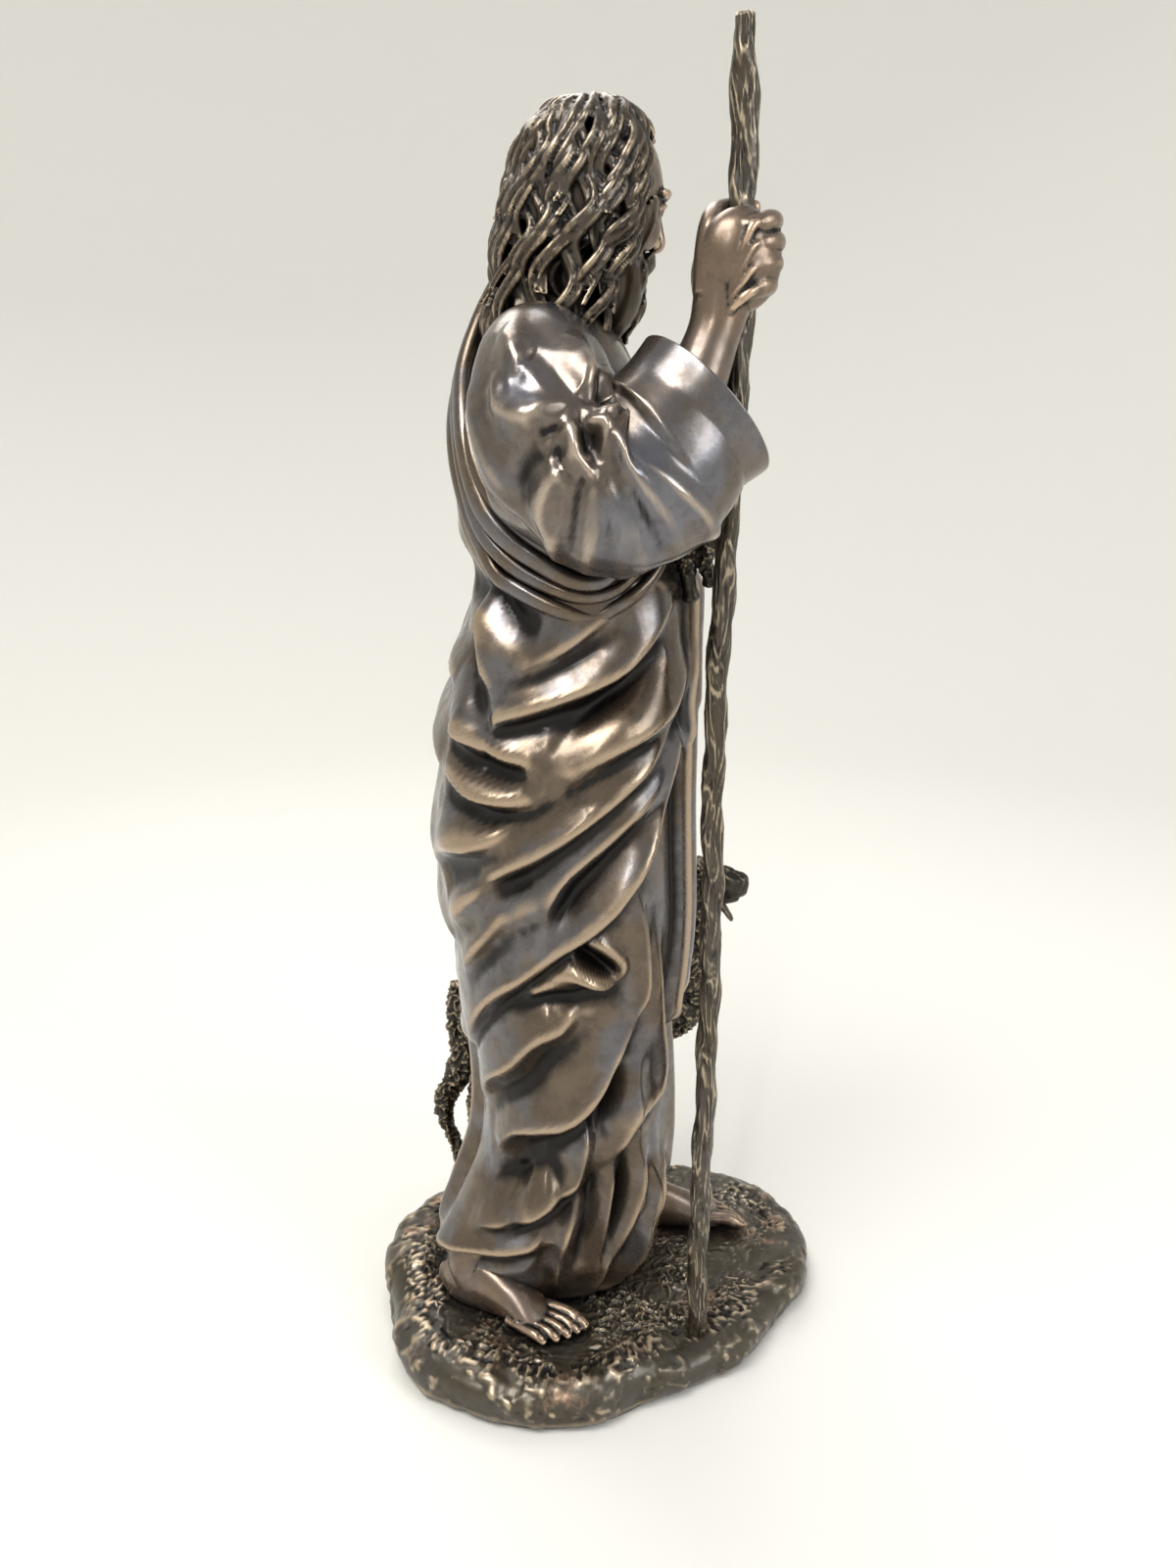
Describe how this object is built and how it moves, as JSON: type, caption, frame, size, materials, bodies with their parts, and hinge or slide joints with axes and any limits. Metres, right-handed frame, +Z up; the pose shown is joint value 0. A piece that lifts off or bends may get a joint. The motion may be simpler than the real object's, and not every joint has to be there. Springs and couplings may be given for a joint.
{
  "type": "shepherd statue",
  "caption": "Cold-cast bronze figurine of a robed, bearded shepherd holding a tall staff and a lamb, with a ewe beside, on a low oval ground.",
  "frame": {"origin": "middle of the base's underside, where the statue stands", "axes": "+Z up; the shepherd faces -Y, and the hand with the staff is towards -X"},
  "size_m": [0.1024, 0.12, 0.305],
  "materials": {
    "figure_bronze": "semi-gloss brown bronze patina with rubbed golden crests and blue-grey hollows",
    "fleece_bronze": "curly fleece, near-black pits under rubbed golden crests",
    "ground_bronze": "dark turf with rubbed crests, coppery worn patches on the side",
    "staff_bronze": "dark brown knotty stick with paler lengthwise veins"
  },
  "bodies": {
    "root": {"shepherd": "figure_bronze", "ewe": "fleece_bronze", "base": "ground_bronze", "staff": "staff_bronze"}
  },
  "joints": []
}
